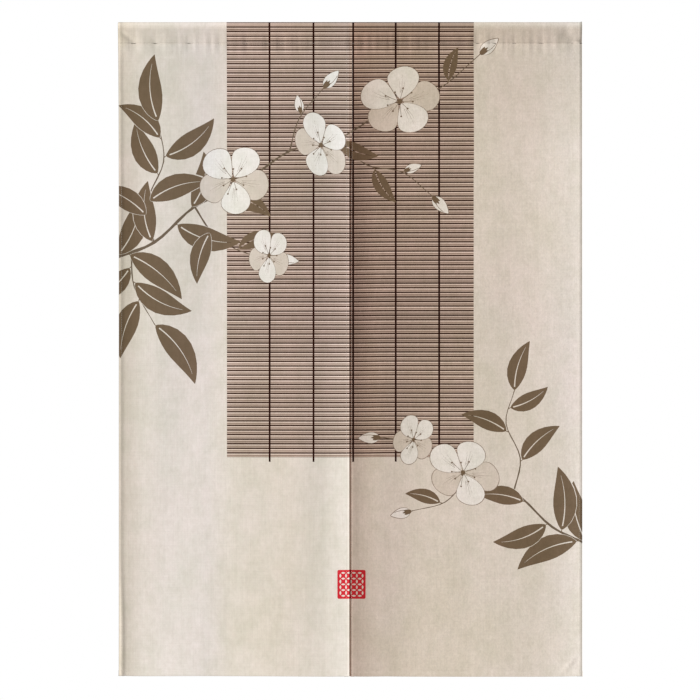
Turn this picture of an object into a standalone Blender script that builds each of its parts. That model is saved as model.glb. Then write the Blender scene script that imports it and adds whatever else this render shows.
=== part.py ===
"""Door curtain of two printed cloth panels, in the shape in which it hangs.

Metres, +Z up. +X is to the right seen from the front, and the front faces -Y.
The origin is the middle of the top edge, where the curtain hangs.
"""
import math
from typing import NamedTuple

import bmesh
import bpy

# Driving sizes
WIDTH = 0.850  # over both panels
DROP = 1.200  # top edge to hem
JOIN_DROP = 0.2145  # the centre seam ends here and the slit begins
POCKET_DROP = 0.0392  # top edge to the stitch line that closes the rod pocket
CLOTH = 0.0012  # one layer
HEM_LAYERS = 2.0  # turned-over edges, in layers
SIDE_HEM = 0.009
BOTTOM_HEM = 0.010
HEM_STEP = 0.001  # width over which a hem's back drops to one layer
TOUCH_GAP = 0.0003  # between pieces that are sewn to each other

# Rod pocket: a belt of cloth round a wide circle above and a narrow one at the stitches
POCKET_RADIUS = 0.0075
STITCH_RADIUS = 0.0016
PUCKER_DEPTH = 0.0004
PUCKER_PITCHES = (0.105, 0.170)

# Mesh spacing
COLUMN_SPACING = 0.025
ROW_SPACING = 0.034
HEM_COLUMNS = 3
POCKET_SPACING = 0.024
POCKET_ARC_STEPS = 10
POCKET_SIDE_STEPS = 3
STITCH_ARC_STEPS = 4


class Fold(NamedTuple):
    """A place across a panel at the folds' full depth."""

    across: float  # from the slit edge
    forward: float  # how far the cloth stands towards the front


class Ripple(NamedTuple):
    """A slow wave in the cloth."""

    pitch_across: float
    pitch_down: float
    height: float
    turn: float  # where the wave starts, in turns


class Panel(NamedTuple):
    name: str
    side: int  # -1 on the left, 1 on the right
    folds: tuple
    slit_curl: float  # how far the slit edge rolls back below the seam
    tuck: float  # how far the slit edge passes the middle, or stops short of it where negative
    colour: tuple


LEFT_FOLDS = (
    Fold(across=0.000, forward=-0.00500),
    Fold(across=0.006, forward=-0.00410),
    Fold(across=0.020, forward=-0.00270),
    Fold(across=0.040, forward=-0.00210),
    Fold(across=0.060, forward=-0.00295),
    Fold(across=0.080, forward=-0.00425),
    Fold(across=0.120, forward=-0.00625),
    Fold(across=0.160, forward=-0.00785),
    Fold(across=0.200, forward=-0.00905),
    Fold(across=0.240, forward=-0.00945),
    Fold(across=0.325, forward=-0.00980),
    Fold(across=0.365, forward=-0.00980),
    Fold(across=0.383, forward=-0.00980),
    Fold(across=0.393, forward=-0.01020),
    Fold(across=0.401, forward=-0.01090),
    Fold(across=0.409, forward=-0.01195),
    Fold(across=0.425, forward=-0.01425),
)
RIGHT_FOLDS = (
    Fold(across=0.000, forward=-0.00500),
    Fold(across=0.0065, forward=-0.00420),
    Fold(across=0.020, forward=0.00000),
    Fold(across=0.030, forward=0.00260),
    Fold(across=0.040, forward=0.00460),
    Fold(across=0.052, forward=0.00610),
    Fold(across=0.064, forward=0.00720),
    Fold(across=0.080, forward=0.00880),
    Fold(across=0.105, forward=0.01075),
    Fold(across=0.125, forward=0.01165),
    Fold(across=0.165, forward=0.01265),
    Fold(across=0.282, forward=0.01440),
    Fold(across=0.323, forward=0.01370),
    Fold(across=0.363, forward=0.01140),
    Fold(across=0.403, forward=0.00760),
    Fold(across=0.425, forward=0.00440),
)
RIPPLES = (
    Ripple(pitch_across=0.260, pitch_down=1.90, height=0.0007, turn=0.10),
    Ripple(pitch_across=0.145, pitch_down=1.10, height=0.0004, turn=0.62),
)
FLAT_AT_SLIT = 0.050  # no ripple reaches the slit edge, and this is how far it takes to grow
FOLD_ONSET = 0.12  # length below the stitches at which folds reach 63 % of their full depth

EDGE_CURL = 0.0004  # how far both slit edges roll back, also along the seam
EDGE_CURL_REACH = 0.0065
CURL_ONSET = 0.035  # length below the seam over which the slit edge rolls back
TUCK_ONSET = 0.040  # further length over which one edge passes behind the other

HEM_KICK = 0.0022  # how far the last of the cloth swings forward
HEM_KICK_LENGTH = 0.090

CLOTH_ROUGHNESS = 0.9

PANELS = (
    Panel("panel_left", -1, LEFT_FOLDS, 0.0, -0.0012, (0.72, 0.66, 0.58, 1.0)),
    Panel("panel_right", 1, RIGHT_FOLDS, 0.0060, 0.0026, (0.64, 0.57, 0.49, 1.0)),
)


def ease(t):
    """0 to 1 with level ends."""
    t = min(max(t, 0.0), 1.0)
    return t * t * (3.0 - 2.0 * t)


def along_folds(folds, across):
    """Forward distance at a place between the folds' rows, on a smooth curve through them."""
    last = len(folds) - 1
    i = 0
    while i < last - 1 and across > folds[i + 1].across:
        i += 1
    here, there = folds[i], folds[i + 1]
    before, after = folds[max(i - 1, 0)], folds[min(i + 2, last)]
    span = there.across - here.across
    rise_here = (there.forward - before.forward) / (there.across - before.across) * span
    rise_there = (after.forward - here.forward) / (after.across - here.across) * span
    t = min(max((across - here.across) / span, 0.0), 1.0)
    return (
        here.forward * (2 * t**3 - 3 * t**2 + 1)
        + rise_here * (t**3 - 2 * t**2 + t)
        + there.forward * (3 * t**2 - 2 * t**3)
        + rise_there * (t**3 - t**2)
    )


def forward(panel, across, drop):
    """How far a panel's cloth stands forward of the stitch line."""
    fold = along_folds(panel.folds, across)
    grown = ease(across / FLAT_AT_SLIT)
    for ripple in RIPPLES:
        turns = panel.side * across / ripple.pitch_across + drop / ripple.pitch_down + ripple.turn
        fold += ripple.height * grown * math.sin(2 * math.pi * turns)
    curl = EDGE_CURL + panel.slit_curl * ease((drop - JOIN_DROP) / CURL_ONSET)
    fold -= curl * max(0.0, 1.0 - across / EDGE_CURL_REACH) ** 2
    depth = 1.0 - math.exp(-max(drop - POCKET_DROP, 0.0) / FOLD_ONSET)
    kick = HEM_KICK * max(0.0, (drop - DROP) / HEM_KICK_LENGTH + 1.0) ** 2
    return fold * depth + kick


def slit_edge(panel, drop):
    """How far a panel's slit edge is from the middle, on its own side."""
    tucked = ease((drop - JOIN_DROP - CURL_ONSET) / TUCK_ONSET)
    return TOUCH_GAP / 2 - (TOUCH_GAP / 2 + panel.tuck) * tucked


def in_steps(start, end, steps):
    """Values from start to end, both included."""
    return [start + (end - start) * i / steps for i in range(steps + 1)]


def evenly(start, end, spacing):
    """Values from start to end, no further apart than the spacing."""
    return in_steps(start, end, math.ceil((end - start) / spacing))


def panel_columns(width):
    """Places across a panel, closer together in both hems and stepping at their inner edges."""
    hem = in_steps(0.0, SIDE_HEM, HEM_COLUMNS)
    middle = evenly(SIDE_HEM + HEM_STEP, width - SIDE_HEM - HEM_STEP, COLUMN_SPACING)
    return hem + middle + [width - place for place in reversed(hem)]


def panel_rows(top):
    """Depths below the top edge, stepping at the bottom hem's upper edge."""
    return evenly(top, DROP - BOTTOM_HEM - HEM_STEP, ROW_SPACING) + [DROP - BOTTOM_HEM, DROP]


def new_grid(columns, rows):
    """A flat grid, with each vertex and its column and row numbers."""
    grid = bmesh.new()
    bmesh.ops.create_grid(grid, x_segments=columns - 1, y_segments=rows - 1, size=1.0)
    cells = []
    for vertex in grid.verts:
        column = round((vertex.co.x + 1.0) / 2.0 * (columns - 1))
        row = round((1.0 - vertex.co.y) / 2.0 * (rows - 1))
        cells.append((vertex, column, row))
    return grid, cells


def cloth_material(name, colour):
    material = bpy.data.materials.new(name)
    material.use_nodes = True
    shader = material.node_tree.nodes["Principled BSDF"]
    shader.inputs["Base Color"].default_value = colour
    shader.inputs["Roughness"].default_value = CLOTH_ROUGHNESS
    shader.inputs["Metallic"].default_value = 0.0
    material.diffuse_color = colour
    return material


def add_cloth(name, grid, colour, collection):
    """A closed cloth solid that thickens inwards from its front or outer face."""
    mesh = bpy.data.meshes.new(name)
    grid.to_mesh(mesh)
    grid.free()
    mesh.shade_smooth()
    mesh.materials.append(cloth_material(name + "_cloth", colour))
    cloth = bpy.data.objects.new(name, mesh)
    collection.objects.link(cloth)
    thickness = cloth.modifiers.new("Thickness", "SOLIDIFY")
    thickness.thickness = CLOTH
    thickness.offset = -1.0
    return cloth, thickness


def build_panel(panel, collection):
    """One panel from the stitch line down."""
    width = WIDTH / 2
    columns = panel_columns(width)
    rows = panel_rows(POCKET_DROP + TOUCH_GAP)
    grid, cells = new_grid(len(columns), len(rows))
    thick = {}
    for vertex, column, row in cells:
        across = columns[column] if panel.side > 0 else width - columns[column]
        drop = rows[row]
        edge = slit_edge(panel, drop)
        x = panel.side * (edge + (width - edge) * across / width)
        vertex.co = (x, -CLOTH / 2 - forward(panel, across, drop), -drop)
        in_side_hem = min(column, len(columns) - 1 - column) <= HEM_COLUMNS
        thick[vertex.index] = in_side_hem or drop >= DROP - BOTTOM_HEM
    cloth, thickness = add_cloth(panel.name, grid, panel.colour, collection)
    hem = cloth.vertex_groups.new(name="hem")
    for index, is_thick in thick.items():
        hem.add([index], 1.0 if is_thick else 1.0 / HEM_LAYERS, "REPLACE")
    thickness.thickness = CLOTH * HEM_LAYERS
    thickness.vertex_group = hem.name


def pocket_outline():
    """Outline of the pocket seen along the rod: y, z and the outward direction as an angle.

    Angles run from straight back (+Y) upwards. Both circles share the slope of the straight
    sides that touch them.
    """
    upper_z = -POCKET_RADIUS
    lower_z = -(POCKET_DROP - STITCH_RADIUS)
    slope = math.asin((POCKET_RADIUS - STITCH_RADIUS) / (upper_z - lower_z))

    def on_circle(radius, centre_z, angle):
        return (radius * math.cos(angle), centre_z + radius * math.sin(angle), angle)

    def arc(radius, centre_z, first, last, steps):
        return [on_circle(radius, centre_z, angle) for angle in in_steps(first, last, steps)]

    upper = arc(POCKET_RADIUS, upper_z, -slope, math.pi + slope, POCKET_ARC_STEPS)
    lower = arc(STITCH_RADIUS, lower_z, math.pi + slope, 2 * math.pi - slope, STITCH_ARC_STEPS)

    def between(start, end):
        ys = in_steps(start[0], end[0], POCKET_SIDE_STEPS)
        zs = in_steps(start[1], end[1], POCKET_SIDE_STEPS)
        return [(y, z, end[2]) for y, z in zip(ys, zs)][1:-1]

    return upper + between(upper[-1], lower[0]) + lower + between(lower[-1], upper[0])


def pucker(x, z):
    """Small gathers that the stitches draw into the pocket, none at its top and stitches."""
    height = math.sin(math.pi * min(-z / POCKET_DROP, 1.0))
    waves = [math.sin(2 * math.pi * x / pitch) for pitch in PUCKER_PITCHES]
    return PUCKER_DEPTH * height * sum(waves) / len(waves)


def build_pocket(panel, collection):
    """One panel's top, turned over to the back and stitched as a tunnel for a rod."""
    outline = pocket_outline()
    places = evenly(TOUCH_GAP / 2, WIDTH / 2, POCKET_SPACING)
    if panel.side < 0:
        places = [-x for x in reversed(places)]
    grid, cells = new_grid(len(places), len(outline) + 1)
    for vertex, column, row in cells:
        y, z, angle = outline[row % len(outline)]
        x = places[column]
        out = pucker(x, z)
        vertex.co = (x, y + out * math.cos(angle), z + out * math.sin(angle))
    bmesh.ops.remove_doubles(grid, verts=grid.verts, dist=TOUCH_GAP / 10)
    bmesh.ops.recalc_face_normals(grid, faces=grid.faces)
    add_cloth(panel.name.replace("panel", "pocket"), grid, panel.colour, collection)


def main():
    for old in list(bpy.data.objects):
        bpy.data.objects.remove(old, do_unlink=True)
    curtain = bpy.data.collections.new("noren_curtain")
    bpy.context.scene.collection.children.link(curtain)
    for panel in PANELS:
        build_pocket(panel, curtain)
        build_panel(panel, curtain)


main()
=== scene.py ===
"""Looks of the door curtain: printed cotton and linen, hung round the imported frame.

Metres, +Z up. +X is to the right seen from the front, and the front faces -Y.
The cloth of each panel is one flat sheet, printed while flat. A place on it is (s, d):
s across from the slit edge, d down from the top edge. Its edges are then turned over to
the back and its top is turned over into the rod pocket.
"""
import random
from math import acos, asin, atan2, ceil, cos, degrees, pi, radians, sin
from typing import NamedTuple

import bpy
import numpy as np
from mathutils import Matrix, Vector
from mathutils.geometry import delaunay_2d_cdt

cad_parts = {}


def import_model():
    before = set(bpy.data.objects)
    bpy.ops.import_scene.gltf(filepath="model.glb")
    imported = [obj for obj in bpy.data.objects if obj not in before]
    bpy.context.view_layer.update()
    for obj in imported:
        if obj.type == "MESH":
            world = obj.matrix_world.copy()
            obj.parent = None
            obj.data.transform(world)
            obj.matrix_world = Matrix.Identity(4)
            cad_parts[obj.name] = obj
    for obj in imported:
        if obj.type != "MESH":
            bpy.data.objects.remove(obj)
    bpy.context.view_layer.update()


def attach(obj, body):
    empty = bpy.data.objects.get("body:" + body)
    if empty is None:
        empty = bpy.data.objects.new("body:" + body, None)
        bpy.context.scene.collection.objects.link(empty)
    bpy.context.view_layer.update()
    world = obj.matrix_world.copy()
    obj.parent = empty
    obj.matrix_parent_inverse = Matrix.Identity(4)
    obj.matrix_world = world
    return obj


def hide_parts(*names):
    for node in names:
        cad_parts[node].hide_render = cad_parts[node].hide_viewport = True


# The photograph's frame
PHOTO_SPAN = 1.2833  # metres across the picture, at the curtain
PHOTO_CENTRE = Vector((0.0, 0.0, -0.6012))
LENS = 135.0
SENSOR = 36.0

# Driving sizes, as in the frame
WIDTH = 0.85
PANEL_WIDTH = WIDTH / 2
DROP = 1.2
JOIN_DROP = 0.2145
POCKET_DROP = 0.0392
POCKET_RADIUS = 0.0075
STITCH_RADIUS = 0.0016
FRONT_AT_STITCHES = 0.0006  # how far the cloth's front stands before the middle of the pocket

# The sheet
CLOTH = 0.00045
SIDE_HEM = 0.009
BOTTOM_HEM = 0.01
SIDE_ROLL = 0.00055  # radius of the turned-over side edges
BOTTOM_ROLL = 0.00085  # wider, because it turns over the side hems
POCKET_TAIL = 0.003  # what hangs below the stitches at the back
STITCH_INSET = 0.0052  # from an edge to the stitches of its hem
BOTTOM_STITCH_INSET = 0.0085


class Groove(NamedTuple):
    """A trough along an edge, where the hem's stitches pull the cloth in."""

    inset: float
    wander: float  # how much further in it lies near the bottom
    width: float
    depth: float
    deepening: float  # how much deeper it is near the bottom


class Panel(NamedTuple):
    name: str
    side: int  # -1 on the left, 1 on the right
    nodes: tuple
    folds: tuple
    slit_curl: float
    tuck: float
    rise: float  # how much its free length draws up away from the slit
    outer_groove: Groove
    outer_curl: float  # how far the outer edge turns forward
    # The tone tables below are painted shade and highlights in the cloth's colour: across the
    # panel, down it, and painted light beside the seam.
    painted_light_and_tones: tuple
    painted_shading_down: tuple
    seam_painted_light: tuple  # what replaces its tones beside the seam, if anything
    grain: float  # how much its threads differ in tone


# Distance across from the slit, and how far forward the cloth stands there
LEFT_FOLDS = (
    (0.0, -0.005), (0.006, -0.0041), (0.02, -0.0027), (0.04, -0.0021), (0.06, -0.00295),
    (0.08, -0.00425), (0.12, -0.00625), (0.16, -0.00785), (0.2, -0.00905), (0.24, -0.00945),
    (0.325, -0.0098), (0.365, -0.0098), (0.383, -0.0098), (0.393, -0.0102), (0.401, -0.0109),
    (0.409, -0.01195), (0.425, -0.01425),
)
RIGHT_FOLDS = (
    (0.0, -0.005), (0.0065, -0.0042), (0.02, 0.0), (0.03, 0.0026), (0.04, 0.0046), (0.052, 0.0061),
    (0.064, 0.0072), (0.08, 0.0088), (0.105, 0.01075), (0.125, 0.01165), (0.165, 0.01265),
    (0.282, 0.0144), (0.323, 0.0137), (0.363, 0.0114), (0.403, 0.0076), (0.425, 0.0044),
)
RIPPLES = (  # pitch across, pitch down, height, turn
    (0.26, 1.9, 0.0007, 0.1),
    (0.145, 1.1, 0.0004, 0.62),
)
FLAT_AT_SLIT = 0.05
FOLD_ONSET = 0.12
EDGE_CURL = 0.0004
EDGE_CURL_REACH = 0.0065
CURL_ONSET = 0.035
TUCK_ONSET = 0.04
RISE_REACH = 0.08
SEAM_X = -0.0012
SEAM_PRESS = 0.00015  # how far the seam presses each rolled edge
HEM_KICK = 0.0022
HEM_KICK_LENGTH = 0.09

# Share of the width from the slit, and what the cloth's red, green and blue are multiplied by:
# painted shade and painted highlights across each panel. On the right panel it is painted shade
# all over, darkest by the slit, with a painted dark line and highlight along its hem fold.
LEFT_PAINTED_SHADING = (
    (0.0, 1.0, 1.0, 1.01), (0.006, 1.0, 1.0, 1.01), (0.009, 0.965, 0.975, 0.985),
    (0.12, 0.955, 0.952, 0.936), (0.25, 1.02, 0.99, 0.97), (0.5, 1.015, 1.005, 0.99),
    (0.62, 0.965, 0.965, 1.0), (0.8, 0.975, 0.985, 1.005), (0.9, 1.0, 1.0, 1.0),
    (1.0, 1.01, 0.98, 0.92),
)
RIGHT_PAINTED_SHADING = (
    (0.0, 0.82, 0.64, 0.55), (0.005, 0.82, 0.64, 0.55), (0.0065, 0.68, 0.48, 0.42),
    (0.01, 0.68, 0.48, 0.42), (0.0115, 0.95, 0.77, 0.71), (0.0145, 0.95, 0.77, 0.71),
    (0.016, 1.12, 0.98, 0.92), (0.018, 1.12, 0.98, 0.92), (0.0195, 0.89, 0.775, 0.72),
    (0.14, 0.851, 0.782, 0.736), (0.25, 0.855, 0.8, 0.75), (0.55, 0.867, 0.825, 0.784),
    (0.68, 0.852, 0.812, 0.781), (0.8, 0.864, 0.827, 0.81), (0.94, 0.895, 0.878, 0.89),
    (1.0, 0.925, 0.915, 0.93),
)
# The same by the share of the drop: a painted highlight along the pocket's rolled top, and on the
# right panel painted shade on the heading and below it, and painted light further down.
LEFT_PAINTED_SHADING_DOWN = (
    (0.0, 1.0, 1.0, 1.0), (0.0055, 1.14, 1.135, 1.125), (0.008, 1.14, 1.12, 1.09),
    (0.011, 1.02, 1.0, 0.975), (0.033, 1.02, 1.0, 0.975), (0.036, 1.0, 1.0, 1.0),
)
RIGHT_PAINTED_SHADING_DOWN = (
    (0.0, 0.96, 0.985, 0.99), (0.0055, 1.045, 1.06, 1.03), (0.0072, 1.035, 1.03, 0.985),
    (0.0105, 0.955, 0.922, 0.872), (0.033, 0.962, 0.928, 0.887), (0.036, 0.946, 0.937, 0.91),
    (0.11, 0.949, 0.937, 0.91), (0.19, 1.03, 1.025, 1.01), (0.3, 1.03, 1.025, 1.01),
    (0.45, 1.0, 1.0, 1.0),
)
# Painted light beside the seam, in place of the right panel's painted shade there
RIGHT_SEAM_PAINTED_LIGHT = (1.11, 1.07, 1.06)
STITCH_GROOVE_WIDTH = 0.0014
STITCH_GROOVE = Groove(
    inset=STITCH_INSET, wander=0.0, width=STITCH_GROOVE_WIDTH, depth=0.00012, deepening=0.0)
LEFT_GROOVE = Groove(inset=0.0029, wander=0.0026, width=0.0049, depth=0.00105, deepening=0.00055)

PANELS = (
    Panel(
        name="cloth_left", side=-1, nodes=("panel_left", "pocket_left"), folds=LEFT_FOLDS,
        slit_curl=0.0, tuck=-0.0012, rise=0.0, outer_groove=LEFT_GROOVE, outer_curl=0.0,
        painted_light_and_tones=LEFT_PAINTED_SHADING, painted_shading_down=LEFT_PAINTED_SHADING_DOWN, seam_painted_light=None, grain=0.35,
    ),
    Panel(
        name="cloth_right", side=1, nodes=("panel_right", "pocket_right"), folds=RIGHT_FOLDS,
        slit_curl=0.006, tuck=0.0026, rise=0.0017, outer_groove=STITCH_GROOVE, outer_curl=0.0014,
        painted_light_and_tones=RIGHT_PAINTED_SHADING, painted_shading_down=RIGHT_PAINTED_SHADING_DOWN, seam_painted_light=RIGHT_SEAM_PAINTED_LIGHT, grain=1.0,
    ),
)

# Small relief
GROOVE_WANDER_DROP = 0.98
GROOVE_WANDER_LENGTH = 0.12
OUTER_CURL_REACH = 0.0045
BOTTOM_GROOVE = 0.00015
PUCKER_REACH = 0.019
HEM_BULGE = 0.0007  # room for the side hems between the pocket's two sides, at its stitches
HEM_BULGE_REACH = 0.012
HEM_BULGE_EASE = 0.004

# Waves that add up to uneven gathers at the pocket's stitches: pitch, height, length over
# which the pitch changes, how much it changes, and turn
GATHERS = (
    (0.0091, 0.00004, 0.131, 1.1, 0.15),
    (0.0137, 0.0001, 0.197, 1.3, 0.55),
    (0.0232, 0.00024, 0.283, 0.9, 0.8),
    (0.0411, 0.0004, 0.341, 0.6, 0.35),
)

# Soft ridges pressed into the cloth: x, drop, degrees from straight right turning downwards,
# length, width, height
CREASES = (
    (0.396, 0.019, 113, 0.013, 0.0095, 0.0019),
    (0.417, 0.036, 0, 0.006, 0.0028, -0.001),
    (0.401, 1.179, 135, 0.014, 0.004, -0.0024),
    (-0.409, 0.026, 35, 0.014, 0.0045, 0.0007),
    (0.15, 0.955, 4, 0.11, 0.009, 0.0005),
)


# Shape of the hung cloth. These functions take arrays of places.


def ease(t):
    """0 to 1 with level ends."""
    t = np.clip(t, 0.0, 1.0)
    return t * t * (3.0 - 2.0 * t)


def along_folds(folds, across):
    """Forward distance at places across a panel, on a smooth curve through its folds."""
    at, height = np.array(folds).T
    number = np.arange(len(at))
    before, after = np.maximum(number - 1, 0), np.minimum(number + 1, len(at) - 1)
    slope = (height[after] - height[before]) / (at[after] - at[before])
    i = np.clip(np.searchsorted(at, across, side="right") - 1, 0, len(at) - 2)
    span = at[i + 1] - at[i]
    t = np.clip((across - at[i]) / span, 0.0, 1.0)
    return (
        height[i] * (2 * t**3 - 3 * t**2 + 1)
        + slope[i] * span * (t**3 - 2 * t**2 + t)
        + height[i + 1] * (3 * t**2 - 2 * t**3)
        + slope[i + 1] * span * (t**3 - t**2)
    )


def folded(panel, across, drop):
    """How far a panel's cloth stands forward of the stitch line, as in the frame."""
    fold = along_folds(panel.folds, across)
    grown = ease(across / FLAT_AT_SLIT)
    for pitch_across, pitch_down, height, turn in RIPPLES:
        turns = panel.side * across / pitch_across + drop / pitch_down + turn
        fold += height * grown * np.sin(2 * pi * turns)
    curl = EDGE_CURL + panel.slit_curl * ease((drop - JOIN_DROP) / CURL_ONSET)
    fold -= curl * np.maximum(0.0, 1.0 - across / EDGE_CURL_REACH) ** 2
    depth = 1.0 - np.exp(-np.maximum(drop - POCKET_DROP, 0.0) / FOLD_ONSET)
    kick = HEM_KICK * np.maximum(0.0, (drop - DROP) / HEM_KICK_LENGTH + 1.0) ** 2
    return fold * depth + kick


def slit_edge(panel, drop):
    """How far a panel's slit edge is from the middle, on its own side."""
    at_seam = panel.side * SEAM_X - SEAM_PRESS
    tucked = ease((drop - JOIN_DROP - CURL_ONSET) / TUCK_ONSET)
    return at_seam - (panel.tuck + at_seam) * tucked


def bell(distance, width):
    return np.exp(-((distance / width) ** 2))


def puckers(x, from_stitches):
    """Gathers that run off the pocket's stitches."""
    waves = 0.0
    for pitch, height, beat, wander, turn in GATHERS:
        turns = x / pitch + turn + wander * np.sin(2 * pi * (x / beat + turn))
        waves = waves + height * np.sin(2 * pi * turns)
    return waves * bell(from_stitches, PUCKER_REACH)


def creases(x, drop):
    raised = 0.0
    for ridge_x, ridge_drop, angle, length, width, height in CREASES:
        right, down = x - ridge_x, drop - ridge_drop
        turn = radians(angle)
        lengthwise = right * cos(turn) + down * sin(turn)
        crosswise = down * cos(turn) - right * sin(turn)
        raised = raised + height * bell(lengthwise, length) * bell(crosswise, width)
    return raised


def sunk(groove, inwards, drop):
    """Depth of a groove at places that lie so far inwards from its edge."""
    low = ease((drop - GROOVE_WANDER_DROP) / GROOVE_WANDER_LENGTH)
    inset = groove.inset + groove.wander * low
    return (groove.depth + groove.deepening * low) * bell(inwards - inset, groove.width)


def relief(panel, across, drop):
    """What the seams, stitches and creases add to the folds."""
    from_outer = PANEL_WIDTH - across
    raised = puckers(panel.side * across, drop - POCKET_DROP) + creases(panel.side * across, drop)
    raised -= sunk(STITCH_GROOVE, across, drop) + sunk(panel.outer_groove, from_outer, drop)
    raised -= BOTTOM_GROOVE * bell(DROP - drop - BOTTOM_STITCH_INSET, STITCH_GROOVE_WIDTH)
    raised += panel.outer_curl * np.maximum(0.0, 1.0 - from_outer / OUTER_CURL_REACH) ** 2
    return raised


def pocket_path():
    """The pocket's outer side as (y, z) places, from its front stitches over the top."""
    upper_z = -POCKET_RADIUS
    lower_z = -(POCKET_DROP - STITCH_RADIUS)
    slope = asin((POCKET_RADIUS - STITCH_RADIUS) / (upper_z - lower_z))
    pinch = acos(FRONT_AT_STITCHES / STITCH_RADIUS)

    def arc(radius, centre_z, first, last, steps):
        angles = [first + (last - first) * i / steps for i in range(steps + 1)]
        return [(radius * cos(a), centre_z + radius * sin(a)) for a in angles]

    front = arc(STITCH_RADIUS, lower_z, pi + pinch, pi + slope, 6)
    top = arc(POCKET_RADIUS, upper_z, pi + slope, -slope, 32)
    back = arc(STITCH_RADIUS, lower_z, -slope, -pinch, 6)
    y = FRONT_AT_STITCHES
    tail = [(y, -POCKET_DROP), (y, -POCKET_DROP - 2 * POCKET_TAIL)]
    return np.array([(-y, -POCKET_DROP)] + front + top + back + tail)


POCKET_PATH = pocket_path()
POCKET_STEPS = np.diff(POCKET_PATH, axis=0)
POCKET_LENGTHS = np.concatenate([[0.0], np.cumsum(np.hypot(*POCKET_STEPS.T))])


def path_normals(steps):
    """Outward (y, z) directions at the places of a path."""
    sides = np.stack([-steps[:, 1], steps[:, 0]], axis=1) / np.hypot(*steps.T)[:, None]
    sums = np.concatenate([sides[:1], sides[1:] + sides[:-1], sides[-1:]])
    return sums / np.hypot(*sums.T)[:, None]


POCKET_NORMALS = path_normals(POCKET_STEPS)
POCKET_BACK_STITCHES = POCKET_DROP - POCKET_LENGTHS[-2]
POCKET_END = POCKET_BACK_STITCHES - POCKET_TAIL  # d of the sheet's top edge


def on_pocket(length):
    """The (y, z) places at lengths along the pocket's path, and the outward directions there."""
    i = np.clip(np.searchsorted(POCKET_LENGTHS, length, side="right") - 1, 0, len(POCKET_STEPS) - 1)
    span = POCKET_LENGTHS[i + 1] - POCKET_LENGTHS[i]
    t = ((length - POCKET_LENGTHS[i]) / span)[..., None]
    place = POCKET_PATH[i] + POCKET_STEPS[i] * t
    out = POCKET_NORMALS[i] + (POCKET_NORMALS[i + 1] - POCKET_NORMALS[i]) * np.clip(t, 0.0, 1.0)
    return place[..., 0], place[..., 1], out[..., 0], out[..., 1]


def pocket_back(panel, across, from_stitches):
    """How far the pocket's back stands out: it follows the front that it is sewn to."""
    past_hem = np.minimum(across, PANEL_WIDTH - across) - SIDE_HEM
    bulge = HEM_BULGE * (1.0 - ease(past_hem / HEM_BULGE_EASE))
    front_drop = POCKET_DROP - from_stitches
    near = bell(np.maximum(from_stitches, 0.0), HEM_BULGE_REACH)
    return (bulge - relief(panel, across, front_drop)) * near - folded(panel, across, front_drop)


def turned_over(inside, radius):
    """Distance from the edge and depth behind the front, for places that lie so far inside
    the edge of the sheet, or beyond it where negative, once the edge is turned over."""
    turn = np.maximum((radius - inside) / radius, 0.0)
    rolled = np.minimum(turn, pi)
    distance = np.where(turn > 0.0, radius * (1 - np.sin(rolled) + turn - rolled), inside)
    return distance, radius * (1 - np.cos(rolled))


def overhang(hem, radius):
    """How far the flat sheet goes past an edge that it is turned over."""
    return hem + (pi - 2) * radius


SIDE_OVERHANG = overhang(SIDE_HEM, SIDE_ROLL)
BOTTOM_OVERHANG = overhang(BOTTOM_HEM, BOTTOM_ROLL)


def hung(panel, s, d):
    """Where places of the flat sheet are, once it hangs."""
    s, d = np.asarray(s, float), np.asarray(d, float)
    from_slit, slit_depth = turned_over(s, SIDE_ROLL)
    from_outer, outer_depth = turned_over(PANEL_WIDTH - s, SIDE_ROLL)
    across = np.where(s < PANEL_WIDTH / 2, from_slit, PANEL_WIDTH - from_outer)
    depth = np.where(s < PANEL_WIDTH / 2, slit_depth, outer_depth)

    from_bottom, bottom_depth = turned_over(DROP - d, BOTTOM_ROLL)
    drop = DROP - from_bottom
    edge = slit_edge(panel, drop)
    x = panel.side * (edge + (PANEL_WIDTH - edge) * across / PANEL_WIDTH)

    y, z, out_y, out_z = on_pocket(POCKET_DROP - d)
    behind = pocket_back(panel, across, d - POCKET_BACK_STITCHES)
    out = np.where(out_y < 0, relief(panel, across, d), behind) - depth
    pocket = np.stack([x, y + out * out_y, z + out * out_z], axis=-1)

    def front(at, level):
        return FRONT_AT_STITCHES + folded(panel, at, level) + relief(panel, at, level)

    step = 0.0002
    here = front(across, drop)
    slope_x = panel.side * (front(across + step, drop) - front(across - step, drop)) / (2 * step)
    slope_z = -(front(across, drop + step) - front(across, drop - step)) / (2 * step)
    inwards = np.stack([slope_x, np.ones_like(here), slope_z], axis=-1)
    inwards /= np.linalg.norm(inwards, axis=-1, keepdims=True)
    free = np.maximum(0.0, (drop - JOIN_DROP) / (DROP - JOIN_DROP))
    z = panel.rise * free * ease(across / RISE_REACH) - drop
    length = np.stack([x, -here, z], axis=-1) + inwards * (depth + bottom_depth)[..., None]
    return np.where((d < POCKET_DROP)[..., None], pocket, length)


def outward(panel, s, d):
    """Directions that the printed side faces."""
    s, d = np.asarray(s, float), np.asarray(d, float)
    step = 0.0001
    rightwards = panel.side * (hung(panel, s + step, d) - hung(panel, s - step, d))
    upwards = hung(panel, s, d - step) - hung(panel, s, d + step)
    out = np.cross(rightwards, upwards)
    return out / np.linalg.norm(out, axis=-1, keepdims=True)


# The print: twigs, leaves, blossoms and buds of an ordinary kind, over a field of slats

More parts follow.
